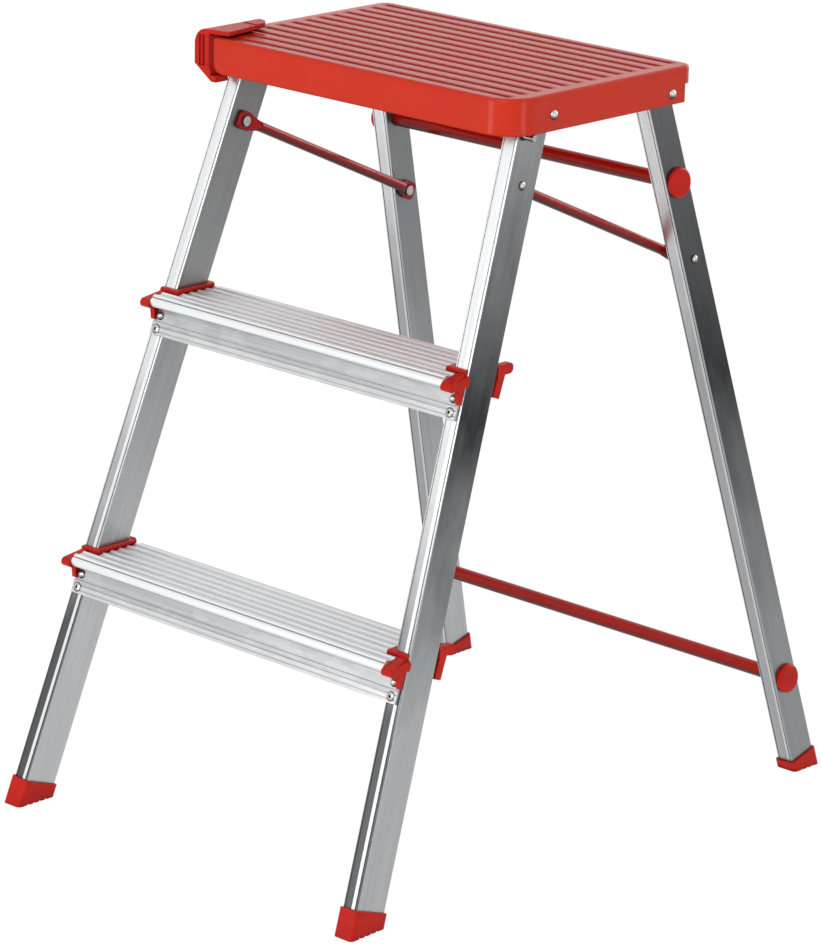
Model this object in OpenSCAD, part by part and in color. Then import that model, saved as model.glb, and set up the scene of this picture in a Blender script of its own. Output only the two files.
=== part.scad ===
// Folding aluminium step stool: three levels, ribbed treads, painted ribbed platform.
// Millimetres, +Z up, steps face -Y. The origin lies on the floor under the middle.
// The stool folds as a four-bar linkage: the platform turns on the front frame, the rear
// frame turns on the platform and a pair of struts ties both frames together.

/* [Platform] */
// Height of the platform surface above the floor
platform_h = 690; // [560:1:760]
// Width of the platform pan
platform_w = 376.8; // [374:0.2:400]
// Depth of the pan's side flanges
flange_h = 32.4; // [28:0.2:40]
// Sheet thickness of the pan
sheet_t = 1.2; // [0.8:0.1:1.6]
// Radius of the bend between deck and flange
bend_r = 3; // [2:0.1:5]
// Plan radius of the front right corner
front_corner_r = 30; // [16:1:34]
// Plan radius of the rear corners
rear_corner_r = 12; // [6:1:16]
// Overhang of the pan in front of its front pivot
front_overhang = 53.5; // [50:0.5:60]
// Overhang of the pan behind its rear pivot
rear_overhang = 29; // [26:0.5:34]
// Number of grooves between the deck's ribs
groove_count = 13; // [5:1:14]
// Width of one groove
groove_w = 4.6; // [3:0.1:6]
// Depth of one groove
groove_d = 1.2; // [0.6:0.1:1.6]
// Plain margin around the grooved field
deck_margin = 14; // [10:1:30]

/* [Front frame] */
// Lean of the front stiles from the vertical, in degrees
front_lean = 19.65; // [18.5:0.05:20.5]
// Gap between the front stiles and the pan's flanges, at the platform pivot
front_side_gap = 13.1; // [11.5:0.1:15]
// Outside width over both front stiles at the floor
front_foot_w = 440.4; // [436:0.2:444]
// Depth of the stile section, front to back
stile_d = 36; // [34:0.5:37]
// Width of the stile section, side to side
stile_w = 17; // [15:0.5:18]
// Stile length left above the platform pivot
stile_head = 7.5; // [6:0.1:8]

/* [Rear frame] */
// Lean of the rear legs from the vertical, in degrees
rear_lean = 15.4; // [14.5:0.05:16.2]
// Gap between the rear legs and the pan's flanges, at the rear pivot
rear_side_gap = 14; // [12.5:0.1:15.5]
// Outside width over both rear legs at the floor
rear_foot_w = 463; // [460:0.5:468]
// Depth of the leg section, front to back
leg_d = 30; // [28:0.5:31]
// Width of the leg section, side to side
leg_w = 18; // [16:0.5:19]
// Leg length left above its pivot on the platform
leg_head = 10; // [7:0.5:12]
// Depth of the upper crossbar below the platform surface
upper_bar_drop = 107; // [95:1:115]
// Height of the lower crossbar
lower_bar_z = 94; // [80:1:200]
// Diameter of the crossbar tubes
bar_d = 13.5; // [10:0.5:15]
// Diameter of the caps over the crossbar ends
bar_cap_d = 27; // [22:0.5:28]
// Thickness of those caps
bar_cap_t = 5; // [4:0.5:7]

/* [Sections] */
// Wall of the stile and leg sections
wall = 1.4; // [1:0.1:2]
// Corner radius of the stile and leg sections
corner_r = 1.5; // [0.8:0.1:2]
// Distance between the front of the front feet and the back of the rear feet
base_d = 618; // [610:1:626]

/* [Treads] */
// Rise from the lower tread to the upper one
step_rise = 231.3; // [190:0.1:235]
// Rise from the upper tread to the platform
top_rise = 227.7; // [190:0.1:235]
// Reach of the tread's nose in front of the stile
nose_reach = 24.5; // [22:0.1:26]
// Reach of the tread behind the front face of the stile
tread_rear = 53.4; // [51:0.1:56]
// Wall of the tread section
tread_t = 2; // [1.4:0.1:2.6]
// Radius of the tread's nose
nose_r = 4.5; // [4.2:0.1:5.6]
// Length of the tread's front flange along the stile
tread_flange = 42; // [40:0.5:46]
// Distance between the tread's ribs
rib_pitch = 10.1; // [9.6:0.1:10.4]
// Height of the tread's ribs
rib_h = 1.4; // [0.8:0.1:1.8]
// Thickness of the end caps' wall beside the stile
cap_t = 4.4; // [3:0.1:5]
// Height of the end caps' strip above the tread
cap_rise = 2.7; // [2:0.1:4]

/* [Feet] */
// Wall of the foot shoes
shoe_t = 2.5; // [1.8:0.1:3.2]
// Thickness of the shoes' soles
sole_t = 4; // [3:0.5:6]
// Length of the front shoes along the stile
front_shoe_l = 26.2; // [20:0.2:40]
// Length of the rear shoes along the leg
rear_shoe_l = 10; // [8:0.2:24]

/* [Pivots and struts] */
// Depth of the front pivot below the platform surface
front_pivot_drop = 18.5; // [18:0.1:20]
// Depth of the rear pivot below the platform surface
rear_pivot_drop = 23; // [21:0.1:24]
// Diameter of the pivot rivets
pivot_d = 6; // [5:0.1:7]
// Diameter of the rivets' dome heads
dome_d = 9; // [8:0.5:11]
// Height of the rivets' dome heads
dome_h = 3; // [2:0.1:4]
// Depth of the strut pivot on the stile below the platform surface
strut_front_drop = 78; // [72:0.5:85]
// Depth of the strut pivot on the leg below the platform surface
strut_rear_drop = 179.5; // [174:0.5:185]
// Diameter of the strut tube
strut_d = 9.5; // [8:0.5:11]
// Width of the struts' flattened ends
eye_d = 17; // [15:0.5:18]
// Thickness of the struts' flattened ends
eye_t = 2.6; // [2:0.1:3]
// Diameter of the stop studs under the platform
stud_d = 5.6; // [5:0.1:7]

/* [Latch] */
// Length of the latch along the side of the platform
latch_l = 66.5; // [60:0.5:90]
// How far the latch stands out beside the platform
latch_out = 6.9; // [6.8:0.1:8]
// Reach of the latch's thumb flap over the deck, at its front end
flap_reach = 32.5; // [28:0.5:36]
// Gap between the thumb flap and the deck
flap_gap = 2.7; // [2.6:0.1:4]
// Diameter of the latch's hinge pin
latch_pin_d = 3; // [2.4:0.1:3]

/* [Fits] */
// Radial running clearance of every pivot
run_gap = 0.06; // [0.03:0.01:0.1]
// Clearance where a piece is seated on or around another
seat_gap = 0.15; // [0.1:0.01:0.3]

/* [Hidden] */
$fn = 48;

aluminium = [0.80, 0.81, 0.82];
paint = [0.82, 0.27, 0.21];
plastic = [0.86, 0.22, 0.17];
steel = [0.72, 0.72, 0.70];

far = 400;            // longer than any cut needs
eps = 0.01;

// Half widths of the pan: outside, and between its flanges.
pan_x = platform_w / 2;
flange_in = pan_x - sheet_t;

// Places on the front stiles: front face line at height z, outer face at a point (y, z).
front_y0 = -base_d / 2;
front_x0 = front_foot_w / 2;
function front_y(z) = front_y0 + z * tan(front_lean);
function front_s(y, z) = (y - front_y0) * sin(front_lean) + z * cos(front_lean);
function front_x(y, z) = front_x0 - front_s(y, z) * tan(front_splay);
function front_xin(y, z) = front_x(y, z) - stile_w / cos(front_splay);
function stile_mid(z) = front_y(z) + stile_d / 2 / cos(front_lean);

// The same for the rear legs, which lean the other way.
rear_y0 = base_d / 2 - leg_d / cos(rear_lean);
rear_x0 = rear_foot_w / 2;
function rear_y(z) = rear_y0 - z * tan(rear_lean);
function rear_s(y, z) = (rear_y0 - y) * sin(rear_lean) + z * cos(rear_lean);
function rear_x(y, z) = rear_x0 - rear_s(y, z) * tan(rear_splay);
function rear_xin(y, z) = rear_x(y, z) - leg_w / cos(rear_splay);
function leg_mid(z) = rear_y(z) + leg_d / 2 / cos(rear_lean);

// Pivots as [y, z].
pivot_back = 5.6;     // the platform pivot sits behind the middle of the stile
leg_pivot_back = 1.9; // and the rear pivot behind the middle of the leg
a_z = platform_h - front_pivot_drop;
b_z = platform_h - strut_front_drop;
c_z = platform_h - rear_pivot_drop;
d_z = platform_h - strut_rear_drop;
A = [stile_mid(a_z) + pivot_back, a_z];
C = [leg_mid(c_z) + leg_pivot_back, c_z];
B = [stile_mid(b_z), b_z];
D = [leg_mid(d_z), d_z];

// Both frames splay towards the floor; their side gaps under the platform are given.
front_splay = atan((front_x0 - flange_in + front_side_gap) / front_s(A[0], A[1]));
rear_splay = atan((rear_x0 - flange_in + rear_side_gap) / rear_s(C[0], C[1]));
upper_bar_z = platform_h - upper_bar_drop;

// Pan.
pan_y0 = A[0] - front_overhang;
pan_y1 = C[0] + rear_overhang;
pan_z0 = platform_h - flange_h;
rear_lip = 11;        // the rear flange is a short lip, so that the legs can swing past
groove_pitch = (pan_y1 - pan_y0 - 2 * deck_margin) / (groove_count - 1);

// Stop studs, just under the flange and near the front edge of the stiles.
stud_z = pan_z0 - 0.4 - stud_d / 2;
stud_y = front_y(stud_z) + 6.5;

// Treads.
upper_z = platform_h - top_rise;
lower_z = upper_z - step_rise;
rear_r = 5.5;         // radius of the tread's rear edge
rib_count = 7;
rib_start = nose_reach - 6;   // the first rib lies on the nose
nose_drop = 1;        // the nose's top lies this far below the plate
band_h = 12;          // width of the thicker band along the flange's lower edge
dome_v = 23.4;        // rivet places, measured down the stile from the tread's surface
blind_v = tread_flange - band_h / 2 - 0.3;
dome_x = 9.4;
blind_x = 9.5;
flange_short = 0.8;   // the flange ends this far inside the stile's outer face
nose_short = 8.9;     // and the nose this far
end_room = 2.4;       // between the tread's end and the end cap's wall

// Latch.
latch_x = pan_x + latch_out;
latch_wall = 3;
flap_t = 3.8;
latch_r = 15;         // radius of the latch's outer top edge
latch_y0 = pan_y0 - 1.5;
latch_y1 = latch_y0 + latch_l;
block_l = 15.5;       // length of the latch's solid front block
pin_x = pan_x + 3;
pin_z = platform_h - 8;
corner_cut = 16;      // the pan's front left corner is open this far for the block

// ---------- helpers ----------

module on_stile() translate([front_x0, front_y0, 0])
    rotate([-front_lean, 0, 0]) rotate([0, -front_splay, 0]) children();
module on_leg() translate([rear_x0, rear_y0, 0])
    rotate([rear_lean, 0, 0]) rotate([0, -rear_splay, 0]) children();
module left() mirror([1, 0, 0]) children();
module both() { children(); left() children(); }

// Extrusions of a profile drawn as (y, z) along X, and as (x, z) along Y.
module along_x(x0, x1) translate([x0, 0, 0]) rotate([90, 0, 90])
    linear_extrude(x1 - x0) children();
module along_y(y0, y1) translate([0, y1, 0]) rotate([90, 0, 0])
    linear_extrude(y1 - y0) children();
module rod_x(x0, x1, p, d) translate([x0, p[0], p[1]]) rotate([0, 90, 0])
    cylinder(h = x1 - x0, d = d);
module rod_y(y0, y1, x, z, d) translate([x, y1, z]) rotate([90, 0, 0])
    cylinder(h = y1 - y0, d = d);

module rounded(w, d, r) {
    translate([r, 0]) square([w - 2 * r, d]);
    translate([0, r]) square([w, d - 2 * r]);
    for (x = [r, w - r], y = [r, d - r]) translate([x, y]) circle(r);
}

// Domed rivet head: flat side at the origin, dome towards +Z.
module dome(d, h) rotate_extrude() intersection() {
    translate([0, h - (d * d / 4 + h * h) / (2 * h)]) circle((d * d / 4 + h * h) / (2 * h));
    square([d, h]);
}
module dome_x(x, p, dir, d = dome_d, h = dome_h) translate([x, p[0], p[1]])
    rotate([0, dir * 90, 0]) dome(d, h);

// ---------- aluminium sections ----------

// Box section with two shallow decorative grooves on its front and rear faces.
module box_section(w, d) {
    groove = 0.5;
    inset = 3;
    difference() {
        translate([-w, 0]) rounded(w, d, corner_r);
        translate([-w + wall, wall]) square([w - 2 * wall, d - 2 * wall]);
        for (x = [-inset, -w + inset - 1], y = [-eps, d - groove + eps])
            translate([x, y]) square([1, groove]);
    }
}
module stile_envelope(gap) on_stile() translate([-stile_w - gap, -gap, -far / 2])
    cube([stile_w + 2 * gap, stile_d + 2 * gap, 3 * far]);
module leg_envelope(gap) on_leg() translate([-leg_w - gap, -gap, -far / 2])
    cube([leg_w + 2 * gap, leg_d + 2 * gap, 3 * far]);
module floor_cut(z) translate([-far, -far, z - far]) cube([2 * far, 2 * far, far]);

stile_top = front_s(A[0], A[1]) / cos(front_splay) + stile_head;
leg_top = rear_s(C[0], C[1]) / cos(rear_splay) + leg_head;

module tread_rivet_holes(z, d) {
    for (q = [[dome_x, dome_v], [blind_x, blind_v]])
        on_stile() translate([-q[0], -10, z / cos(front_lean) / cos(front_splay) - q[1]])
            rotate([-90, 0, 0]) cylinder(h = 10 + wall + 0.2, d = d);
}
rivet_d = 4;

module front_stile() color(aluminium) difference() {
    on_stile() linear_extrude(stile_top) box_section(stile_w, stile_d);
    floor_cut(sole_t);
    for (p = [A, B]) rod_x(0, far, p, pivot_d + 2 * seat_gap);
    rod_x(0, far, [stud_y, stud_z], stud_d + 2 * seat_gap);
    for (z = [lower_z, upper_z]) tread_rivet_holes(z, rivet_d + 2 * seat_gap);
}
module rear_leg() color(aluminium) difference() {
    on_leg() linear_extrude(leg_top) box_section(leg_w, leg_d);
    floor_cut(sole_t);
    rod_x(0, far, C, pivot_d + 2 * run_gap);
    rod_x(0, far, D, pivot_d + 2 * seat_gap);
    for (z = [upper_bar_z, lower_bar_z]) rod_x(0, far, [leg_mid(z), z], bar_d + 2 * seat_gap);
}

// ---------- feet and plugs ----------

// Shoe around the end of a section, with a flat grooved sole.
module shoe_block(w, d, l) translate([-w - shoe_t, -shoe_t, -30])
    linear_extrude(l + 30) rounded(w + 2 * shoe_t, d + 2 * shoe_t, corner_r + shoe_t);
module sole_grooves(x, y0, y1) for (y = [y0 + 8 : 7 : y1 - 6])
    translate([x - 60, y, -1]) cube([120, 2, 2.2]);

module front_foot() color(plastic) difference() {
    on_stile() shoe_block(stile_w, stile_d, front_shoe_l);
    difference() { stile_envelope(seat_gap); floor_cut(sole_t - eps); }
    floor_cut(0);
    sole_grooves(front_x0, front_y0, front_y0 + stile_d / cos(front_lean));
}
module rear_foot() color(plastic) difference() {
    on_leg() shoe_block(leg_w, leg_d, rear_shoe_l);
    difference() { leg_envelope(seat_gap); floor_cut(sole_t - eps); }
    floor_cut(0);
    sole_grooves(rear_x0, rear_y0, base_d / 2);
}

// Plug that closes the open top of a section.
plug_l = 5;
module plug(w, d, top) translate([-w + wall + seat_gap, wall + seat_gap, top - plug_l])
    linear_extrude(plug_l) square([w - 2 * wall - 2 * seat_gap, d - 2 * wall - 2 * seat_gap]);
module stile_top_plug() color(plastic) difference() {
    on_stile() plug(stile_w, stile_d, stile_top);
    rod_x(0, far, A, pivot_d + 2 * seat_gap);
}
module leg_top_plug() color(plastic) difference() {
    on_leg() plug(leg_w, leg_d, leg_top);
    rod_x(0, far, C, pivot_d + 2 * seat_gap);
}

// ---------- treads ----------

// Everything below is drawn as (y, z) from the point where the tread's surface meets the
// front face of the stile.
module down_stile(u0, u1, v0, v1) rotate(-front_lean) translate([u0, -v1])
    square([u1 - u0, v1 - v0]);

module tread_top_profile() {
    plate_z = -rib_h;
    nose_c = [-nose_reach + nose_r, nose_z];
    rear_c = [tread_rear - rear_r, plate_z - rear_r];
    difference() {
        union() {
            translate([nose_c[0], plate_z - tread_t - nose_drop])
                square([4, tread_t + nose_drop]);
            translate([nose_c[0], plate_z - tread_t])
                square([rear_c[0] - nose_c[0], tread_t]);
            translate(nose_c) circle(nose_r);
            translate(rear_c) circle(rear_r);
        }
        translate(nose_c) circle(nose_r - tread_t);
        translate(rear_c) circle(rear_r - tread_t);
    }
    // Rounded ribs, and a stiffening web under the middle.
    rib_r = 2.9;
    for (i = [0 : rib_count - 1])
        translate([-rib_start + i * rib_pitch, 0]) intersection() {
            translate([0, -rib_r]) circle(rib_r);
            translate([-rib_r, -rib_h - 0.2]) square([2 * rib_r, rib_h + 0.2]);
        }
    translate([tread_rear / 2 - 3, plate_z - tread_t - 9]) square([tread_t, 9.5]);
}
nose_z = -rib_h - nose_drop - nose_r;
module tread_flange_profile(v0) difference() {
    union() {
        down_stile(-tread_t - seat_gap, -seat_gap, v0, tread_flange);
        down_stile(-band_out, -seat_gap, tread_flange - band_h, tread_flange);
    }
    for (v = [8, 3.2]) down_stile(-band_out - 1, -band_out + 0.6, tread_flange - v - 0.5,
        tread_flange - v + 0.5);
}
band_out = tread_t + 1.3 + seat_gap;
strip_front = 4.5;    // the end cap's strip lies this far in front of the stile

module tread(z) {
    y = front_y(z);
    nose_x = front_x(y, z) - nose_short;
    rear_x_half = front_xin(y, z) - cap_t - end_room;
    flange_x = front_x(y, z) - flange_short;
    color(aluminium) difference() {
        translate([0, y, z]) {
            along_x(-nose_x, nose_x) intersection() {
                tread_top_profile();
                translate([-60, -60]) square([60 - strip_front, 80]);
            }
            along_x(-rear_x_half, rear_x_half) tread_top_profile();
            along_x(-rear_x_half, rear_x_half) tread_flange_profile(1.5);
            along_x(-flange_x, flange_x) tread_flange_profile(12);
        }
        both() tread_rivet_holes(z, rivet_d + 2 * seat_gap);
    }
}

// End cap: a cheek that flares to a disc beside the nose, a strip in front of the stile and
// along its inner face, and an ear behind the stile's outer edge. A leg runs down the front
// and the back of the stile.
ear_w = 6;
ear_r = 4.3;
ear_reach = 57.9;     // rear end of the ear
ear_top = -1;
ear_h = 9.6;
ear_side = 1.5;       // the ear lies this far inside the stile's outer face
strip_w = 6;          // width of the strip on the tread
strip_rear = 42;      // rear end of the strip
cap_leg_w = 5;
cap_out = 1.9;        // the gusset stands out this far beside the stile
disc_r = 4.1;
disc = [-nose_reach + 2.2, -8.5]; // centre of the disc
module end_cap(z) {
    y = front_y(z);
    x_face = front_x(y, z);
    x_in = front_xin(y, z);
    x_leg = x_face + cap_out;
    cheek_x = x_face - nose_short + seat_gap;
    strip_x = x_in - strip_w;
    wall_x = x_in - cap_t + 0.15;
    cheek_top = cap_rise - 2.6;
    ear_x = x_face - ear_side;
    color(plastic) difference() {
        translate([0, y, z]) {
            // Cheek that flares to a disc beside the nose, and a gusset down the stile.
            hull() {
                along_x(cheek_x, x_face - 2) translate([-strip_front, cheek_top - 10])
                    square([strip_front, 10]);
                along_x(cheek_x, x_face + 2.2) translate(disc) circle(disc_r);
            }
            along_x(x_leg - cap_leg_w, x_leg)
                polygon([[disc[0], -5], [-2, -2], [0, -6], [-8, -25.6], [-13.2, -25.6],
                    [-14.5, -12.4], [disc[0], -12]]);
            // Strip across the stile's front face, with a chamfered edge.
            along_x(strip_x, x_face - 1) translate([-strip_front + seat_gap, 0])
                polygon([[0, -4], [strip_front, -4], [strip_front, cap_rise], [1.4, cap_rise],
                    [0, cap_rise - 1.2]]);
            // Strip along the stile's inner face, closing the end of the tread.
            along_x(wall_x, x_in + 1) translate([-strip_front + seat_gap + 1.4, -12])
                square([strip_rear + strip_front - 1.6, 12 + cap_rise]);
            along_x(strip_x, x_in + 1) translate([-strip_front + seat_gap + 1.4, seat_gap])
                square([strip_rear + strip_front - 1.6, cap_rise - seat_gap]);
            // Plate behind the stile, ear and rear leg.
            along_x(wall_x, ear_x) translate([strip_rear - 3.2, ear_top - ear_h])
                square([3.2, ear_h]);
            along_x(ear_x - ear_w, ear_x) {
                for (c = [ear_top - ear_r, ear_top - ear_h + ear_r])
                    translate([ear_reach - ear_r, c]) circle(ear_r);
                translate([strip_rear - 3.2, ear_top - ear_h])
                    square([ear_reach - ear_r - strip_rear + 3.2, ear_h]);
                translate([strip_rear, ear_top - ear_h + ear_r])
                    square([ear_reach - strip_rear, ear_h - 2 * ear_r]);
            }
            along_x(ear_x - cap_leg_w, ear_x)
                down_stile(stile_d + 4.5, stile_d + 12.5, -6, 15.6);
        }
        stile_envelope(seat_gap);
        // Room for the tread's flange behind the cheek.
        translate([0, y, z]) along_x(0, x_face + 5)
            down_stile(-tread_t - 2 * seat_gap, 5, 11.8, 60);
    }
}

// Rivets that hold a tread to the stiles: a dome rivet above a blind rivet with a hole.
module tread_rivets(blind) {
    x = blind ? blind_x : dome_x;
    v = blind ? blind_v : dome_v;
    seat = blind ? band_out : tread_t + seat_gap;
    for (z = [lower_z, upper_z]) both() color(steel)
        on_stile() translate([-x, 0, z / cos(front_lean) / cos(front_splay) - v]) {
            rotate([90, 0, 0]) difference() {
                union() {
                    translate([0, 0, -wall - 2]) cylinder(h = seat + wall + 2.5, d = rivet_d);
                    translate([0, 0, seat]) dome(blind ? 9 : 8.2, blind ? 1.3 : 3.2);
                    translate([0, 0, -wall - 2]) cylinder(h = 1.8, d = rivet_d + 2);
                }
                if (blind) translate([0, 0, -10]) cylinder(h = 30, d = 2.4);
            }
        }
}

// ---------- pivots between the frames ----------

a_out = front_x(A[0], A[1]);
a_in = front_xin(A[0], A[1]);
c_out = rear_x(C[0], C[1]);
c_in = rear_xin(C[0], C[1]);
b_out = front_x(B[0], B[1]);
b_in = front_xin(B[0], B[1]);
d_out = rear_x(D[0], D[1]);
d_in = rear_xin(D[0], D[1]);
face_tilt = 0.5;      // a splayed face leans this much over half a rivet head
eye_gap = 1.3;        // between a stile's or leg's inner face and the strut's eye

module pivot_rivet(x_in, p) color(steel) {
    rod_x(x_in - 1.6, pan_x + run_gap + 0.2, p, pivot_d);
    rod_x(x_in - 1.6, x_in - 0.4, p, pivot_d + 3);
    dome_x(pan_x + run_gap, p, 1);
}
module spacer(x0, p, d) color(steel) difference() {
    rod_x(x0 + face_tilt, flange_in - 0.25, p, d + 5);
    rod_x(x0, flange_in + 1, p, d + 2 * run_gap);
}
module stop_stud() color(steel) {
    x_in = front_xin(stud_y, stud_z);
    x_out = front_x(stud_y, stud_z);
    p = [stud_y, stud_z];
    rod_x(x_in - 1.2, pan_x, p, stud_d);
    rod_x(x_in - 1.6, x_in - face_tilt, p, stud_d + 3);
    rod_x(pan_x - 1.6, pan_x + 0.6, p, stud_d + 0.8);
    rod_x(x_out + face_tilt, x_out + face_tilt + 1, p, stud_d + 1.6);
}
module strut_front_rivet() color(steel) {
    rod_x(b_in - eye_gap - eye_t - 1.2, b_out + 0.8, B, pivot_d);
    rod_x(b_in - eye_gap - eye_t - 1.6, b_in - eye_gap - eye_t - 0.1, B, pivot_d + 3.6);
    dome_x(b_out + face_tilt, B, 1, 8, 2);
}
module strut_washer() color(steel) difference() {
    rod_x(b_in - eye_gap + 0.1, b_in - face_tilt, B, pivot_d + 5);
    rod_x(b_in - 10, b_in + 1, B, pivot_d + 2 * seat_gap);
}
module strut_leg_rivet() color(steel) {
    rod_x(d_in + 0.2, d_out + 0.8, D, pivot_d);
    dome_x(d_out + face_tilt, D, 1, 8, 2);
}
module eye_rivet() color(steel) {
    x = d_in - eye_gap;
    rod_x(x - eye_t - 0.6, x - 0.1, D, pivot_d);
    rod_x(x - eye_t - 1.6, x - eye_t - 0.1, D, pivot_d + 3.6);
}

// ---------- struts ----------

eye_l = 16;           // length of the flattened ends
strut_in = 3;         // the tube runs this far further inboard beside the leg
module strut() {
    run = D - B;
    len = norm(run);
    pitch = atan2(run[1], run[0]);
    b_x = b_in - eye_gap - eye_t;
    d_x = d_in - eye_gap - eye_t;
    tube_b = b_in - eye_gap - strut_d / 2;
    tube_d = d_in - eye_gap - strut_d / 2 - strut_in;
    start = 16;
    function tube_x(t) = tube_b + (tube_d - tube_b) * t / len;
    skew = atan2(tube_d - tube_b, len);
    color(paint) difference() {
        translate([0, B[0], B[1]]) rotate([pitch, 0, 0]) {
            // Flattened eyes at both ends.
            for (e = [[0, b_x, 1], [len, d_x, -1]]) {
                translate([e[1], e[0], 0]) rotate([90, 0, 90]) linear_extrude(eye_t)
                    translate([-eye_l / 2, -eye_d / 2]) rounded(eye_l, eye_d, 4.5);
                hull() {
                    translate([e[1] + 0.05, e[0] + e[2] * 6.6 - 1, -eye_d / 2 + 1.5])
                        cube([eye_t - 0.1, 2, eye_d - 3]);
                    t = e[0] + e[2] * start;
                    translate([tube_x(t), t, 0]) rotate([90, 0, -skew])
                        cylinder(h = 1, d = strut_d - 0.5, center = true, $fn = 32);
                }
            }
            translate([tube_x(start), start, 0]) rotate([-90, 0, -skew]) difference() {
                cylinder(h = (len - 2 * start) / cos(skew), d = strut_d);
                translate([0, 0, 2]) cylinder(h = (len - 2 * start) / cos(skew) - 4,
                    d = strut_d - 2.4);
            }
        }
        rod_x(b_x - 1, b_x + eye_t + 1, B, pivot_d + 2 * run_gap);
        rod_x(d_x - 1, d_x + eye_t + 1, D, pivot_d + 2 * seat_gap);
    }
}

// ---------- crossbars ----------

module crossbar(z) {
    x = rear_x(leg_mid(z), z) - 0.8;
    color(paint) difference() {
        rod_x(-x, x, [leg_mid(z), z], bar_d);
        rod_x(-x - 1, x + 1, [leg_mid(z), z], bar_d - 2.4);
    }
}
// Cap whose disc lies flat on the splayed leg and whose stem enters the tube.
module bar_cap(z) {
    p = [leg_mid(z), z];
    color(plastic) {
        intersection() {
            on_leg() translate([seat_gap, leg_d / 2, rear_s(p[0], p[1]) / cos(rear_splay)])
                rotate([0, 90, 0]) {
                    cylinder(h = bar_cap_t - 1.5, d = bar_cap_d);
                    translate([0, 0, bar_cap_t - 1.5 - eps])
                        cylinder(h = 1.5, d1 = bar_cap_d, d2 = bar_cap_d - 3.5, $fn = 48);
                }
            translate([0, -far, -far]) cube([far, 2 * far, 3 * far]);
        }
        rod_x(rear_x(p[0], p[1]) - 12, rear_x(p[0], p[1]) + 1.5, p, bar_d - 2.4 - 2 * seat_gap);
    }
}

// ---------- platform ----------

// Solid of the pan's outer form, shrunk all round by t, with a bend all round its deck.
pan_corners = [[1, 0, front_corner_r], [-1, 0, 6.5], [1, 1, rear_corner_r],
    [-1, 1, rear_corner_r]];
function corner_at(c) = [c[0] * (pan_x - c[2]), c[1] == 0 ? pan_y0 + c[2] : pan_y1 - c[2]];
module pan_form(t, z0) {
    r = bend_r - t;
    bend_z = platform_h - bend_r;
    hull() for (c = pan_corners) translate(corner_at(c)) {
        translate([0, 0, z0]) cylinder(h = bend_z - z0, r = c[2] - t, $fn = 64);
        for (a = [0 : 30 : 60]) translate([0, 0, bend_z + r * sin(a)])
            cylinder(h = r * (sin(a + 30) - sin(a)), r1 = c[2] - bend_r + r * cos(a),
                r2 = c[2] - bend_r + r * cos(a + 30), $fn = 64);
    }
}
module slot(x0, x1, w, h) linear_extrude(h) {
    translate([x0 + w / 2, -w / 2]) square([x1 - x0 - w, w]);
    for (x = [x0 + w / 2, x1 - w / 2]) translate([x, 0]) circle(w / 2, $fn = 24);
}
// The first groove is shorter on the left, beside the open corner.
function groove_x0(i) = -pan_x + (i == 0 ? corner_cut + 6 : deck_margin);
corner_r_flange = 9;
module platform_deck() color(paint) difference() {
    union() {
        difference() {
            pan_form(0, pan_z0);
            pan_form(sheet_t, pan_z0 - 2);
        }
        // Pressed ribs: each groove shows as a ridge under the deck.
        for (i = [0 : groove_count - 1])
            translate([0, pan_y0 + deck_margin + i * groove_pitch,
                    platform_h - groove_d - sheet_t])
                slot(groove_x0(i), pan_x - deck_margin, groove_w + 2, groove_d + eps);
    }
    for (i = [0 : groove_count - 1])
        translate([0, pan_y0 + deck_margin + i * groove_pitch, platform_h - groove_d])
            slot(groove_x0(i) + 1, pan_x - deck_margin - 1, groove_w, 5);
    // Rear flange cut back to a lip, and slanted rear ends of the side flanges.
    translate([-pan_x - 1, pan_y1 - rear_corner_r, pan_z0 - 1])
        cube([2 * pan_x + 2, rear_corner_r + 1, flange_h - 15]);
    translate([-pan_x + rear_corner_r, pan_y1 - rear_corner_r, pan_z0 - 1])
        cube([2 * pan_x - 2 * rear_corner_r, rear_corner_r + 1, flange_h + 1 - rear_lip]);
    // Open front left corner, where the latch's block sits, with a rounded flange end.
    translate([-pan_x - 1, pan_y0 - 1, pan_z0 - 1])
        cube([corner_cut + 1, corner_cut + 1, flange_h + 5]);
    translate([-pan_x + corner_cut - eps, pan_y0, pan_z0 - eps]) rotate([90, 0, 0])
        translate([0, 0, -4]) linear_extrude(6) difference() {
            square(corner_r_flange);
            translate([1, 1] * corner_r_flange) circle(corner_r_flange);
        }
    // Pivot bores and the latch bracket's rivet holes.
    for (p = [A, C]) both() rod_x(pan_x - 5, pan_x + 5, p, pivot_d + 2 * run_gap);
    for (y = bracket_rivet_y) left() rod_x(pan_x - 5, pan_x + 5, [y, bracket_rivet_z],
        2.4 + 2 * seat_gap);
}

// ---------- latch ----------

knuckle_y0 = latch_y0 + 30;
knuckle_y1 = knuckle_y0 + 16;
knuckle_d = latch_pin_d + 1.4;
cheek_l = 5;
bracket_rivet_z = pin_z - 10;
bracket_rivet_y = [knuckle_y0 + 4, knuckle_y1 - 4];

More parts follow.
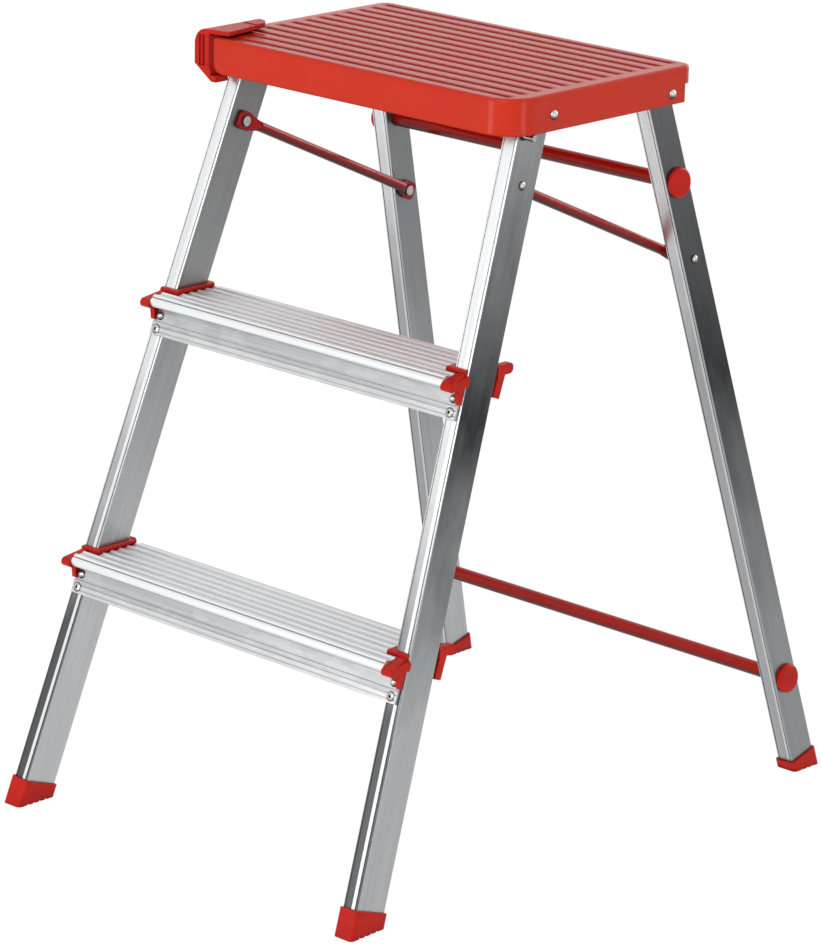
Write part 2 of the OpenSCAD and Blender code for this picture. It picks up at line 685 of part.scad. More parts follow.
// The latch is drawn for the right side, with x positive, and mirrored to the left.
module latch_bracket() left() color(steel) difference() {
    union() {
        translate([pan_x + 0.05, knuckle_y0, bracket_rivet_z - 4])
            cube([1, knuckle_y1 - knuckle_y0, pin_z - bracket_rivet_z + 4]);
        translate([pan_x + 0.05, knuckle_y0, pin_z - 1.4])
            cube([pin_x - pan_x, knuckle_y1 - knuckle_y0, 2.8]);
        rod_y(knuckle_y0, knuckle_y1, pin_x, pin_z, knuckle_d);
    }
    rod_y(knuckle_y0 - 1, knuckle_y1 + 1, pin_x, pin_z, latch_pin_d + 2 * seat_gap / 3);
    for (y = bracket_rivet_y) rod_x(pan_x - 5, pan_x + 5, [y, bracket_rivet_z],
        2.4 + 2 * seat_gap);
}
module latch_bracket_rivets() left() color(steel) for (y = bracket_rivet_y) {
    rod_x(flange_in - 1, pan_x + 1.3, [y, bracket_rivet_z], 2.4);
    rod_x(flange_in - 1.1, flange_in - 0.1, [y, bracket_rivet_z], 4.4);
    dome_x(pan_x + 1.1, [y, bracket_rivet_z], 1, 4.4, 1);
}
spring_l = 5;
module latch_hinge_pin() left() color(steel) {
    rod_y(knuckle_y0 - spring_l - cheek_l - 1.4, knuckle_y1 + cheek_l + 1.2, pin_x, pin_z,
        latch_pin_d);
}

// Torsion spring: a helix of round wire on the pin, swept as rings along its coils.
wire_r = 0.34;
function ring(t, turns, r, l, n) = let (a = t * 360 * turns, c = [r * cos(a), t * l, r * sin(a)])
    [for (k = [0 : n - 1]) let (b = k * 360 / n)
        c + wire_r * [cos(b) * cos(a), sin(b), cos(b) * sin(a)]];
module latch_spring() left() color(steel) {
    turns = 4;
    n = 8;
    steps = 64;
    r = latch_pin_d / 2 + wire_r + 0.12;
    pts = [for (i = [0 : steps]) each ring(i / steps, turns, r, spring_l - 1.2, n)];
    faces = concat(
        [[for (k = [0 : n - 1]) k]],
        [for (i = [0 : steps - 1], k = [0 : n - 1])
            [i * n + k, (i + 1) * n + k, (i + 1) * n + (k + 1) % n, i * n + (k + 1) % n]],
        [[for (k = [n - 1 : -1 : 0]) steps * n + k]]);
    translate([pin_x, knuckle_y0 - spring_l + 0.6, pin_z]) polyhedron(pts, faces);
}

block_in = 11.1;      // the front block reaches this far inside the pan's side
lip_in = 20.4;        // and its lip this far
lip_drop = 2.6;       // gap between the flange and the lip
lip_t = 5.6;
flap_rear_reach = flap_reach - 8.4;
fillet_r = 10;        // between the block and the lip
flap_hole = [-25.2, 38]; // place of the small hole, from the pan's side and the front

module latch_lever() {
    under = platform_h + flap_gap;
    top = under + flap_t;
    lip_top = pan_z0 - lip_drop;
    lip_z = lip_top - lip_t;
    wall_in = latch_x - latch_wall;
    side = latch_x - 20;
    c = [latch_x - latch_r, top - latch_r];
    module outer_form() {
        translate(c) circle(latch_r);
        translate([side, pan_z0 + 7 - eps]) square([20, c[1] - pan_z0 - 7 + eps]);
        translate([pan_x - flap_reach, under]) square([c[0] - pan_x + flap_reach, flap_t]);
        polygon([[latch_x, pan_z0 + 7], [latch_x, pan_z0 + 6], [pan_x - 14.4, lip_z],
            [pan_x - lip_in, lip_z], [pan_x - lip_in, lip_top], [side, lip_top],
            [side, pan_z0 + 7]]);
    }
    module inner_form() {
        intersection() {
            translate(c) circle(latch_r - latch_wall);
            translate(c - [40, 0]) square([80, under - c[1]]);
        }
        translate([pan_x - 60, pan_z0 - 20]) square([wall_in - pan_x + 60, c[1] - pan_z0 + 20]);
        translate([pan_x - 60, pan_z0 - 20]) square([c[0] - pan_x + 60, under - pan_z0 + 20]);
    }
    left() color(plastic) difference() {
        union() {
            // Front block with the lip under the flange.
            along_y(latch_y0, latch_y0 + block_l) difference() {
                outer_form();
                difference() {
                    translate([pan_x - 60, lip_top]) square([60 - block_in, under - lip_top]);
                    translate([pan_x - block_in - fillet_r, lip_top]) difference() {
                        square(fillet_r + eps);
                        translate([0, fillet_r]) circle(fillet_r);
                    }
                }
            }
            // Side wall with the thumb flap.
            along_y(latch_y0 + block_l - eps, latch_y1) difference() {
                intersection() {
                    outer_form();
                    translate([pan_x - 60, pan_z0 - 1]) square([120, 120]);
                }
                inner_form();
            }
            // Cheeks that carry the hinge pin.
            for (y = [knuckle_y0 - spring_l - cheek_l, knuckle_y1 + 0.2])
                translate([pan_x + 0.7, y, pin_z - 5])
                    cube([wall_in - pan_x - 0.2, cheek_l, 10]);
            // Raised pad on the rear half of the flap.
            translate([pan_x - flap_reach, latch_y0 + latch_l * 0.7, top - eps])
                cube([flap_reach - 8, latch_l * 0.3, 0.6]);
        }
        rod_y(knuckle_y0 - 18, knuckle_y1 + 8, pin_x, pin_z, latch_pin_d + 2 * run_gap);
        // Room for the bracket's knuckle and for the spring.
        rod_y(knuckle_y0 - spring_l, knuckle_y1 + 0.2, pin_x, pin_z, knuckle_d + 0.6);
        // The flap narrows towards its rear end, and its front edge is slanted.
        translate([pan_x, latch_y0, platform_h]) linear_extrude(20)
            polygon([[-8, -1], [-8, 0], [-flap_reach, 4.6], [-flap_rear_reach, latch_l - 8.5],
                [-flap_rear_reach + 5.5, latch_l - 2.6], [-12, latch_l], [-12, latch_l + 1],
                [-60, latch_l + 1], [-60, -1]]);
        // Finger grooves on the front face, and a small hole in the flap.
        for (g = [[2.7, 3.9], [6, 2.4]]) translate([pan_x - g[0], latch_y0 - 1, pan_z0 + 5])
            cube([g[1], 2.2, under - pan_z0 - 7]);
        translate([pan_x + flap_hole[0], latch_y0 + flap_hole[1], under - 1])
            cylinder(h = 6, d = 2.6);
    }
}

// ---------- the parts ----------

left() front_stile();  // front_stile_left
front_stile();  // front_stile_right
tread(lower_z);  // tread_lower
tread(upper_z);  // tread_upper
left() end_cap(lower_z);  // end_cap_lower_left
end_cap(lower_z);  // end_cap_lower_right
left() end_cap(upper_z);  // end_cap_upper_left
end_cap(upper_z);  // end_cap_upper_right
tread_rivets(false);  // tread_dome_rivets
tread_rivets(true);  // tread_blind_rivets
left() front_foot();  // front_foot_left
front_foot();  // front_foot_right
both() pivot_rivet(a_in, A);  // platform_pivot_rivets
both() spacer(a_out, A, pivot_d);  // platform_pivot_spacers
both() stop_stud();  // stop_studs
both() strut_front_rivet();  // strut_front_rivets
both() strut_washer();  // strut_washers
both() stile_top_plug();  // stile_top_plugs
platform_deck();
both() pivot_rivet(c_in, C);  // rear_pivot_rivets
both() spacer(c_out, C, pivot_d);  // rear_pivot_spacers
latch_bracket();
latch_bracket_rivets();
latch_hinge_pin();
latch_spring();
latch_lever();
left() rear_leg();  // rear_leg_left
rear_leg();  // rear_leg_right
left() rear_foot();  // rear_foot_left
rear_foot();  // rear_foot_right
crossbar(upper_bar_z);  // upper_crossbar
crossbar(lower_bar_z);  // lower_crossbar
left() bar_cap(upper_bar_z);  // upper_bar_cap_left
bar_cap(upper_bar_z);  // upper_bar_cap_right
left() bar_cap(lower_bar_z);  // lower_bar_cap_left
bar_cap(lower_bar_z);  // lower_bar_cap_right
both() strut_leg_rivet();  // strut_leg_rivets
both() leg_top_plug();  // leg_top_plugs
left() strut();  // strut_left
strut();  // strut_right
left() eye_rivet();  // strut_left_eye_rivet
eye_rivet();  // strut_right_eye_rivet
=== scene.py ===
"""Looks of the folding aluminium step stool: camera, materials, floor, world and lamps.

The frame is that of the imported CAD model: +Z up, the steps face -Y. Lengths are in metres,
apart from those inside the materials, which are in millimetres.
"""

import math

import bmesh
import bpy
from mathutils import Matrix, Vector


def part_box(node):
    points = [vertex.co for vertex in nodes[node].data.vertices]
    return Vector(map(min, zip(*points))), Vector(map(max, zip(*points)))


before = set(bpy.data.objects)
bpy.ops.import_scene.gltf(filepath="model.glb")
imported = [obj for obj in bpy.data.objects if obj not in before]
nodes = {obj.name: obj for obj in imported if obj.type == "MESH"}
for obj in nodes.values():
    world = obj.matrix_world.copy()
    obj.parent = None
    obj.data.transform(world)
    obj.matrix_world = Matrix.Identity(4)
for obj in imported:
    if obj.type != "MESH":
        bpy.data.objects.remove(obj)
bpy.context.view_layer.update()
scene = bpy.context.scene

MM = 1000  # millimetres in a metre

# ---------------------------------------------------------------- camera

AZIMUTH, ELEVATION, ROLL = (math.radians(angle) for angle in (43.165, 17.323, 1.194))
CAMERA_AT = Vector((2.5481, -2.7287, 1.4626))
FOCAL_PX, LONG_SIDE_PX, SENSOR_MM = 4290.5, 950, 36.0
CLIP_NEAR, CLIP_FAR = 0.1, 60


def make_camera():
    """The photograph's camera: a long lens in front of the right-hand side."""
    back = Vector((math.sin(AZIMUTH) * math.cos(ELEVATION),
                   -math.cos(AZIMUTH) * math.cos(ELEVATION), math.sin(ELEVATION)))
    right = Vector((math.cos(AZIMUTH), math.sin(AZIMUTH), 0))
    up = back.cross(right)
    turned_right = right * math.cos(ROLL) + up * math.sin(ROLL)
    turned_up = up * math.cos(ROLL) - right * math.sin(ROLL)
    data = bpy.data.cameras.new("camera")
    data.sensor_width = SENSOR_MM
    data.lens = FOCAL_PX * SENSOR_MM / LONG_SIDE_PX
    data.clip_start, data.clip_end = CLIP_NEAR, CLIP_FAR
    camera = bpy.data.objects.new("camera", data)
    scene.collection.objects.link(camera)
    turn = Matrix((turned_right, turned_up, back)).transposed().to_4x4()
    camera.matrix_world = Matrix.Translation(CAMERA_AT) @ turn
    scene.camera = camera


# ---------------------------------------------------------------- node helpers

AO_SAMPLES, BEVEL_SAMPLES = 6, 4
NOISE_LOW, NOISE_HIGH = 0.3, 0.7  # the range in which nearly all of a noise lies
# Where a member's three painted light greys lie, in millimetres along its axis from the frame's
# origin:
# its foot is at about -110.
LOW, MIDDLE, HIGH = 60, 330, 600


class Tree:
    """A short way to write a material's or the world's node tree."""

    def __init__(self, owner):
        owner.use_nodes = True
        self.tree = owner.node_tree
        self.tree.nodes.clear()

    def add(self, kind, inputs=None, **settings):
        """A new node; an input is either a plain value or another node's output."""
        made = self.tree.nodes.new(kind)
        for key, value in settings.items():
            setattr(made, key, value)
        for key, value in (inputs or {}).items():
            socket = made.inputs[key]
            if isinstance(value, bpy.types.NodeSocket):
                self.tree.links.new(value, socket)
            else:
                socket.default_value = value
        return made

    def math(self, operation, a, b=0.0):
        return self.add("ShaderNodeMath", {0: a, 1: b}, operation=operation).outputs[0]

    def times(self, vector, factor):
        """A position or colour times a factor, or times three factors."""
        return self.add("ShaderNodeVectorMath", {0: vector, 1: factor},
                        operation="MULTIPLY").outputs[0]

    def parts(self, vector):
        return self.add("ShaderNodeSeparateXYZ", {0: vector}).outputs

    def place(self):
        """Position on the piece, in millimetres."""
        return self.times(self.add("ShaderNodeTexCoord").outputs["Object"], (MM, MM, MM))

    def stretch(self, vector, scale, turn=(0, 0, 0)):
        return self.add("ShaderNodeMapping", {"Vector": vector, "Scale": scale,
                                              "Rotation": turn}).outputs[0]

    def noise(self, vector, scale, detail=2.0, rough=0.5):
        return self.add("ShaderNodeTexNoise", {"Vector": vector, "Scale": scale,
                                               "Detail": detail, "Roughness": rough}
                        ).outputs[0]

    def drawn_noise(self, vector, scale, detail=3.0, rough=0.5, turn=(0, 0, 0)):
        """Noise drawn out into streaks, longest on the axis with the smallest scale."""
        return self.noise(self.stretch(vector, scale, turn), 1.0, detail, rough)

    def ramp(self, value, low, high, to_low=0.0, to_high=1.0):
        return self.add("ShaderNodeMapRange", {
            "Value": value, "From Min": low, "From Max": high,
            "To Min": to_low, "To Max": to_high}).outputs[0]

    def above(self, value, base, edge):
        """1 above an edge, 0 below it; edge says from where to where it runs, from the base."""
        return self.ramp(value, base + edge[0], base + edge[1])

    def below(self, value, base, edge):
        """1 below such an edge, 0 above it."""
        return self.ramp(value, base + edge[0], base + edge[1], 1, 0)

    def vary(self, noise, low, high):
        """A value that wanders from low to high with a noise."""
        return self.ramp(noise, NOISE_LOW, NOISE_HIGH, low, high)

    def blend(self, factor, low, high):
        """Colour between low and high; a colour is three numbers."""
        mix = self.add("ShaderNodeMix", data_type="RGBA")
        for key, value in ((0, factor), (6, low), (7, high)):
            if isinstance(value, bpy.types.NodeSocket):
                self.tree.links.new(value, mix.inputs[key])
            elif key:
                mix.inputs[key].default_value = (*value, 1)
            else:
                mix.inputs[key].default_value = value
        return mix.outputs[2]

    def bump(self, height, distance, strength, normal):
        """Relief on top of another direction; distance is in metres."""
        return self.add("ShaderNodeBump", {"Height": height, "Distance": distance,
                                           "Strength": strength, "Normal": normal}).outputs[0]

    def upward(self):
        """1 where a face looks up, -1 where it looks down."""
        return self.parts(self.add("ShaderNodeTexCoord").outputs["Normal"])[2]

    def facing_out(self):
        """1 where a face looks away from the object's middle plane, -1 where it looks in."""
        coordinates = self.add("ShaderNodeTexCoord").outputs
        side = self.math("SIGN", self.parts(coordinates["Object"])[0])
        return self.math("MULTIPLY", side, self.parts(coordinates["Normal"])[0])

    def open_air(self, reach, low, high):
        """1 on open surfaces, 0 in grooves and where pieces meet within reach, in metres."""
        near = self.add("ShaderNodeAmbientOcclusion", {"Distance": reach}, samples=AO_SAMPLES)
        return self.ramp(near.outputs["AO"], low, high)

    def soft_edges(self, radius):
        """The surface's direction with its edges worn round by a small radius, in metres."""
        return self.add("ShaderNodeBevel", {"Radius": radius}, samples=BEVEL_SAMPLES).outputs[0]

    def flatness(self, radius):
        """1 on flat surfaces, less at edges that a radius would round."""
        flat = self.add("ShaderNodeNewGeometry").outputs["Normal"]
        return self.add("ShaderNodeVectorMath", {0: self.soft_edges(radius), 1: flat},
                        operation="DOT_PRODUCT").outputs["Value"]

    def painted_light_by_length(self, length, greys):
        """Painted light: a grey that changes along a member, given low down, half way and near
        the top.
        """
        low, middle, high = (srgb(grey, grey + 1, grey + 2) for grey in greys)
        return self.blend(self.ramp(length, MIDDLE, HIGH),
                          self.blend(self.ramp(length, LOW, MIDDLE), low, middle), high)

    def seen(self):
        """1 for what the camera sees, straight or mirrored in metal."""
        path = self.add("ShaderNodeLightPath").outputs
        return self.math("MAXIMUM", path["Is Camera Ray"], path["Is Glossy Ray"])

    def surface(self, **inputs):
        names = {key.replace("_", " "): value for key, value in inputs.items()}
        shader = self.add("ShaderNodeBsdfPrincipled", names)
        self.add("ShaderNodeOutputMaterial", {"Surface": shader.outputs[0]})


def srgb(red, green, blue):
    """A colour as read off a screen, 0 to 255, as the linear values that shaders take."""
    def one(value):
        value /= 255
        return value / 12.92 if value <= 0.04045 else ((value + 0.055) / 1.055) ** 2.4
    return one(red), one(green), one(blue)


# ---------------------------------------------------------------- materials

# Colours as read off a screen. A member's greys are low down, half way and near the top; they
# are painted light: lit and shaded faces, a painted reflection along the length, a highlight on
# the bead.
STILE = {"front": (88, 226, 240), "out": (170, 44, 144), "inward": (182, 154, 118),
         "bead": (3.4, 0.9)}
REAR_LEG = {"front": (160, 160, 236), "out": (136, 46, 98), "inward": (170, 130, 112),
            "bead": (5.2, 0.4)}
# The first grey is the painted highlight on a stile's bead; the second is the bright tread grey
# of scratches and wear and of the painted highlights on noses and rib tops.
BEAD_HIGHLIGHT, TREAD_BRIGHT, SMEAR = (244, 245, 246), (238, 239, 240), (210, 211, 212)
# Tread greys, dull to clean at random: the flange's, and the plate's, painted lighter as faces
# that look up.
FLANGE_DULL, FLANGE_CLEAN = (178, 180, 182), (200, 202, 204)
PLATE_DULL, PLATE_CLEAN = (204, 206, 208), (224, 226, 228)
# The deck's, rod's and plastic's deepest reds and the darkest steel are painted shade, for
# corners, grooves, undersides and rims.
DECK_RED, DECK_SHADE = (211, 47, 20), (132, 10, 8)
ROD_RED, ROD_SHADE = (176, 25, 15), (52, 3, 4)
PAINT_WEAR = (222, 112, 92)
PLASTIC_DARK, PLASTIC_RED, PLASTIC_SHADE = (188, 33, 24), (204, 40, 28), (118, 12, 10)
STEEL, STEEL_DULL, STEEL_SHADE = (205, 204, 200), (158, 156, 150), (58, 56, 56)

# A tread's parts, in millimetres: its ribs above the plate, how far the nose runs to the rear
# of the front edge, and heights from the plate, of the nose's lower end, the rib tops, worn
# and painted bright as a highlight, the bright band low on the flange, and where nothing of the
# tread is left. The nose takes a painted highlight.
RIB_HEIGHT = 1.5
NOSE_REAR, NOSE_LOW, RIB_TOPS = (4, 9), (-8.5, -6.5), (0, 1.3)
BAND_HIGH, BAND_LOW, BAND_STRENGTH = (-30.5, -29.5), (-42, -41), 0.3
TREAD_END = (3, 4)

DECK_MARGIN = 14  # plain edge around the deck's grooves, in millimetres
DECK_GROOVES = 13


def new_material(name):
    material = bpy.data.materials.new(name)
    return material, Tree(material)


def long_axis(piece):
    """Direction of a long straight box section, upwards: along its two widest faces."""
    faces = sorted(piece.data.polygons, key=lambda face: -face.area)
    side = faces[0].normal
    front = next(face.normal for face in faces if abs(face.normal.dot(side)) < 0.5)
    along = side.cross(front).normalized()
    return along if along.z > 0 else -along


def profile_aluminium(name, piece, front, out, inward, bead):
    """Extruded box section: die lines and a painted sheen of reflection run along its length.

    front, out and inward give the greys of the faces that look forward or back, away from
    the middle and towards it, each low down, half way and near the top; these greys paint the
    faces lit and shaded and a reflection along the length. bead gives how far from the middle
    of the front the painted highlight on its bead lies, in millimetres, and its strength.
    """
    material, t = new_material(name)
    place = t.place()
    turn = long_axis(piece).rotation_difference(Vector((0, 0, 1)))
    widths = [MM * (turn @ vertex.co).x for vertex in piece.data.vertices]
    middle = (min(widths) + max(widths)) / 2
    along = t.stretch(place, (1, 1, 1), turn.to_euler())
    across, _, length = t.parts(along)
    lines = t.drawn_noise(along, (1.5, 1.5, 0.004), rough=0.65)
    broad = t.drawn_noise(along, (0.16, 0.16, 0.007), rough=0.6)
    reflection_wobble = t.drawn_noise(along, (0.03, 0.03, 0.012), rough=0.6)
    grain = t.noise(place, 3.0)

    # painted light: greys by face and by length, wobbled along the length by a noise as a painted
    # reflection, with a painted highlight on the bead on the front
    length = t.math("ADD", length, t.vary(reflection_wobble, -35, 35))
    bead_at, bead_strength = bead
    aside = t.math("ABSOLUTE", t.math("SUBTRACT", across, middle + bead_at))
    colour = t.blend(t.ramp(aside, 1.3, 2.1, bead_strength, 0),
                     t.painted_light_by_length(length, front), srgb(*BEAD_HIGHLIGHT))
    facing = t.facing_out()
    for greys, edges in ((out, (0.55, 0.85)), (inward, (-0.55, -0.85))):
        colour = t.blend(t.ramp(facing, *edges), colour, t.painted_light_by_length(length, greys))

    # streaks, and painted shade as dark lines where grooves and neighbours are near
    streak_and_shade = t.math("ADD", t.vary(lines, 0.9, 1.07), t.vary(broad, -0.05, 0.05))
    streak_and_shade = t.math("MULTIPLY", streak_and_shade, t.open_air(0.0014, 0.3, 0.85))
    rough = t.math("ADD", t.vary(lines, 0.25, 0.36), t.vary(grain, -0.02, 0.03))
    t.surface(Base_Color=t.times(colour, streak_and_shade), Metallic=0.85, Roughness=rough,
              Normal=t.bump(lines, 0.00003, 0.5, t.soft_edges(0.0005)))
    return material


def tread_aluminium(name, treads):
    """Ribbed tread: rib tops worn and painted bright as a highlight, a painted highlight on the
    nose, painted shade in the valleys, a scuffed front flange, and upward faces painted lighter.

    treads gives the place of each tread's front edge and the height of its plate, in
    millimetres.
    """
    material, t = new_material(name)
    place = t.place()
    _, depth, height = t.parts(place)
    upward = t.ramp(t.upward(), 0.6, 0.95)
    lines = t.drawn_noise(place, (0.006, 1.3, 1.3), rough=0.65)
    smear = t.drawn_noise(place, (0.03, 0.08, 0.08), 4.0, 0.55)
    scratch = t.drawn_noise(place, (0.05, 1.2, 1.2), 4.0, 0.7, turn=(0, 0, 0.4))
    grain = t.noise(place, 3.0)

    clean = t.ramp(lines, 0.35, 0.68)
    colour = t.blend(clean, srgb(*FLANGE_DULL), srgb(*FLANGE_CLEAN))
    colour = t.blend(t.ramp(smear, 0.5, 0.56, 0, 0.4), colour, srgb(*SMEAR))
    # painted light: faces that look up are painted lighter than the flange
    colour = t.blend(upward, colour, t.blend(clean, srgb(*PLATE_DULL), srgb(*PLATE_CLEAN)))
    # painted highlight on each nose, rib tops worn and painted bright, and the bright band low on
    # the flange
    for front, top in treads:
        nose = t.math("MULTIPLY", t.below(depth, front, NOSE_REAR),
                      t.above(height, top, NOSE_LOW))
        worn_and_highlight = t.math("MAXIMUM", nose, t.above(height, top, RIB_TOPS))
        band = t.math("MULTIPLY", t.below(height, top, BAND_HIGH),
                      t.above(height, top, BAND_LOW))
        bright = t.math("MAXIMUM", worn_and_highlight, t.math("MULTIPLY", band, BAND_STRENGTH))
        bright = t.math("MULTIPLY", bright, t.below(height, top, TREAD_END))
        colour = t.blend(bright, colour, srgb(*TREAD_BRIGHT))
    colour = t.blend(t.ramp(scratch, 0.66, 0.7, 0, 0.5), colour, srgb(*TREAD_BRIGHT))

    # painted shade in the valleys and where pieces meet
    shade = t.math("MULTIPLY", t.open_air(0.0026, 0.1, 0.9), t.vary(lines, 0.94, 1.04))
    colour = t.times(colour, t.ramp(shade, 0, 1, 0.5, 1))
    rough = t.math("ADD", t.vary(lines, 0.27, 0.4), t.vary(grain, -0.02, 0.03))
    rough = t.math("ADD", rough, t.math("MULTIPLY", upward, 0.12))
    t.surface(Base_Color=colour, Metallic=0.8, Roughness=rough,
              Normal=t.bump(lines, 0.00004, 0.5, t.soft_edges(0.0004)))
    return material


def groove_fall(t, place, first, pitch, reach):
    """How far the deck's surface has fallen into the nearest groove, 0 to 1."""
    across, depth, _ = t.parts(place)
    cell = t.math("DIVIDE", t.math("SUBTRACT", depth, first), pitch)
    away = t.math("MULTIPLY", t.math("PINGPONG", cell, 0.5), pitch)
    inside = t.math("MULTIPLY", t.ramp(t.math("ABSOLUTE", across), reach, reach + 3, 1, 0),
                    t.ramp(t.upward(), 0.5, 0.9))
    slope = t.add("ShaderNodeMapRange", {"Value": away, "From Min": 2.0, "From Max": 6.4},
                  interpolation_type="SMOOTHSTEP").outputs[0]
    return t.math("MULTIPLY", inside, t.math("SUBTRACT", 1.0, slope))


def paint(name, tone, shade_tone, grooves=None):
    """Glossy red powder paint: orange peel, a little dust, fine wear and painted shade in
    corners.

    grooves gives, in millimetres, the place of the deck's first groove, the groove pitch and
    the half length of the grooved field; the paint falls off into each groove there and is
    painted darker there as shade. Without them the paint is a round rod's, with painted shade
    towards its underside.
    """
    material, t = new_material(name)
    place = t.place()
    peel = t.noise(place, 0.55)
    dust = t.noise(place, 2.6)
    cloud = t.noise(place, 0.013, 4.0)
    scuff = t.drawn_noise(place, (0.05, 0.4, 0.4), 5.0, 0.7, turn=(0, 0, 0.5))
    base = t.blend(t.ramp(cloud, 0.35, 0.7), srgb(*(0.97 * value for value in tone)), srgb(*tone))
    base = t.blend(t.ramp(scuff, 0.66, 0.8, 0, 0.35), base, srgb(*PAINT_WEAR))
    rough = t.vary(cloud, 0.16, 0.24)
    if grooves:
        fall = groove_fall(t, place, *grooves)
        # painted shade: darker where the deck falls into each groove
        base = t.blend(t.math("MULTIPLY", fall, 0.3), base, srgb(*shade_tone))
        rough = t.math("ADD", rough, t.math("MULTIPLY", fall, 0.15))
        normal = t.bump(t.math("SUBTRACT", 1.0, fall), 0.0009, 1.0, t.soft_edges(0.0032))
    else:
        # painted shade, darker towards the rod's underside
        base = t.blend(t.ramp(t.upward(), -0.75, 0.35), srgb(*shade_tone), base)
        normal = t.soft_edges(0.0006)
    # painted shade in corners and where pieces meet
    base = t.blend(t.open_air(0.004, 0.0, 0.75), srgb(*shade_tone), base)
    t.surface(Base_Color=base, Roughness=rough, Specular_IOR_Level=0.2,
              Normal=t.bump(dust, 0.00002, 0.4, t.bump(peel, 0.00005, 0.5, normal)))
    return material


def plastic(name):
    """Moulded red plastic with a fine spark-eroded grain and painted shade in corners."""
    material, t = new_material(name)
    place = t.place()
    grain = t.noise(place, 1.9)
    flow = t.drawn_noise(place, (0.03, 0.03, 0.09))
    base = t.blend(t.ramp(flow, 0.35, 0.7), srgb(*PLASTIC_DARK), srgb(*PLASTIC_RED))
    # painted shade in corners and where pieces meet
    base = t.blend(t.open_air(0.006, 0.2, 0.9), srgb(*PLASTIC_SHADE), base)
    t.surface(Base_Color=base, Roughness=t.vary(grain, 0.26, 0.36), Specular_IOR_Level=0.1,
              Normal=t.bump(grain, 0.00003, 0.5, t.soft_edges(0.0006)))
    return material


def steel(name):
    """Bright zinc-plated steel: faint turning marks, painted shade round its rims and underneath.
    """
    material, t = new_material(name)
    place = t.place()
    marks = t.drawn_noise(place, (0.6, 2.4, 2.4))
    dull = t.noise(place, 0.35, 3.0)
    base = t.blend(t.ramp(dull, 0.4, 0.75, 0, 0.6), srgb(*STEEL), srgb(*STEEL_DULL))
    # painted shade in corners, on the underside and round rims
    lit = t.math("MULTIPLY", t.open_air(0.003, 0.45, 0.95), t.ramp(t.upward(), -0.5, 0.2))
    lit = t.math("MULTIPLY", lit, t.ramp(t.flatness(0.0015), 0.8, 0.99))
    base = t.blend(lit, srgb(*STEEL_SHADE), base)
    t.surface(Base_Color=base, Metallic=1.0, Roughness=t.vary(marks, 0.19, 0.34),
              Normal=t.bump(marks, 0.00003, 0.4, t.soft_edges(0.0003)))
    return material


def box_mm(name):
    """Low and high corners of a CAD node, in millimetres."""
    return [[MM * value for value in corner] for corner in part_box(name)]


def tread_place(name):
    """Place of a tread's front edge and height of its plate, in millimetres."""
    low, high = box_mm(name)
    return low[1], high[2] - RIB_HEIGHT


def deck_grooves():
    """Place of the deck's first groove, groove pitch and half length, in millimetres."""
    low, high = box_mm("platform_deck")
    pitch = (high[1] - low[1] - 2 * DECK_MARGIN) / (DECK_GROOVES - 1)
    return low[1] + DECK_MARGIN, pitch, high[0] - DECK_MARGIN


def dress():
    """Gives every CAD node its material, chosen by name."""
    tread_names = ("tread_lower", "tread_upper")
    tread = tread_aluminium("tread_aluminium", [tread_place(name) for name in tread_names])
    deck_paint = paint("deck_paint", DECK_RED, DECK_SHADE, deck_grooves())
    rod_paint = paint("rod_paint", ROD_RED, ROD_SHADE)
    red_plastic = plastic("red_plastic")
    rivet = steel("rivet_steel")
    for name, piece in nodes.items():
        if name == "platform_deck":
            chosen = deck_paint
        elif name in ("upper_crossbar", "lower_crossbar", "strut_left", "strut_right"):
            chosen = rod_paint
        elif name.startswith("front_stile"):
            chosen = profile_aluminium(name + "_aluminium", piece, **STILE)
        elif name.startswith("rear_leg"):
            chosen = profile_aluminium(name + "_aluminium", piece, **REAR_LEG)
        elif name in tread_names:
            chosen = tread
        elif any(word in name for word in ("foot", "cap", "plug", "lever")):
            chosen = red_plastic
        else:
            chosen = rivet
        piece.data.materials.clear()
        piece.data.materials.append(chosen)


# ---------------------------------------------------------------- stage and light

FLOOR_CELLS, FLOOR_REACH = 8, 20
FLOOR_DROP = 0.0002  # keeps the floor clear of the feet
FLOOR_PALE, FLOOR_PALER = (0.88, 0.88, 0.88), (0.9, 0.9, 0.9)
# The camera sees mostly a white glow on the floor. The rest of what it sees is lit by the lamps,
# too little for the object's shadow to show.
FLOOR_GLOW, FLOOR_SEEN = 1.02, 0.975
WHITE = (1, 1, 1, 1)
WORLD_LIGHT, WORLD_SEEN = 0.4, 1.0

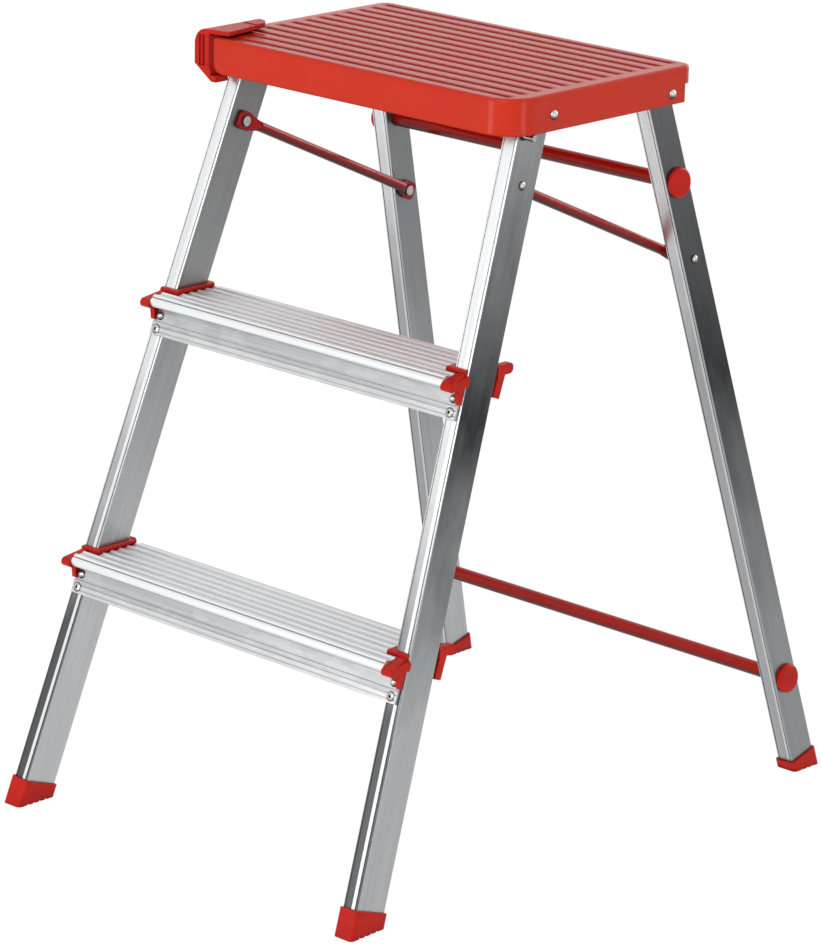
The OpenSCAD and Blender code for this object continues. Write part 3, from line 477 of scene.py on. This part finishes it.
LAMPS = (  # name, place, what it points at, width and height, watts
    ("key", (1.1, -2.8, 2.2), (0, 0, 0.4), (1.8, 1.8), 42),
    ("softbox_left", (-0.39, -1.51, 0.52), (0.17, -0.12, 0.52), (0.28, 1.0), 4.5),
    ("softbox_right", (1.67, -0.07, 0.52), (0.17, -0.12, 0.52), (0.14, 1.0), 3),
    ("top", (0.2, 0.3, 3.0), (0, 0, 0.35), (2.4, 2.4), 4),
    ("back", (0.6, 2.9, 1.6), (0, 0, 0.4), (1.6, 1.6), 26),
)


def make_stage():
    """A wide pale floor that shows white to the camera and lights the object from below."""
    mesh = bpy.data.meshes.new("floor")
    form = bmesh.new()
    bmesh.ops.create_grid(form, x_segments=FLOOR_CELLS, y_segments=FLOOR_CELLS, size=FLOOR_REACH)
    form.to_mesh(mesh)
    form.free()
    floor = bpy.data.objects.new("floor", mesh)
    scene.collection.objects.link(floor)
    floor.location.z = -FLOOR_DROP
    material, t = new_material("floor_white")
    tint = t.noise(t.add("ShaderNodeTexCoord").outputs["Object"], 0.4)
    matt = t.add("ShaderNodeBsdfDiffuse", {"Color": t.blend(tint, FLOOR_PALE, FLOOR_PALER)})
    white = t.add("ShaderNodeEmission", {"Color": WHITE, "Strength": FLOOR_GLOW})
    seen = t.math("MULTIPLY", t.seen(), FLOOR_SEEN)
    shade = t.add("ShaderNodeMixShader", {0: seen, 1: matt.outputs[0], 2: white.outputs[0]})
    t.add("ShaderNodeOutputMaterial", {"Surface": shade.outputs[0]})
    mesh.materials.append(material)


def make_world():
    """Even light from all round, white where the camera or a mirroring surface sees it."""
    world = bpy.data.worlds.new("studio")
    scene.world = world
    t = Tree(world)
    strength = t.ramp(t.seen(), 0, 1, WORLD_LIGHT, WORLD_SEEN)
    air = t.add("ShaderNodeBackground", {"Color": WHITE, "Strength": strength})
    t.add("ShaderNodeOutputWorld", {"Surface": air.outputs[0]})


def make_lamps():
    """A broad key, weak lamps behind and above, and two tall narrow softboxes."""
    for name, at, target, size, power in LAMPS:
        data = bpy.data.lights.new(name, "AREA")
        data.shape = "RECTANGLE"
        data.size, data.size_y = size
        data.energy = power
        light = bpy.data.objects.new(name, data)
        scene.collection.objects.link(light)
        light.location = at
        light.rotation_mode = "QUATERNION"
        light.rotation_quaternion = (Vector(at) - Vector(target)).to_track_quat("Z", "Y")


make_camera()
dress()
make_stage()
make_world()
make_lamps()

scene.view_settings.view_transform = "Standard"
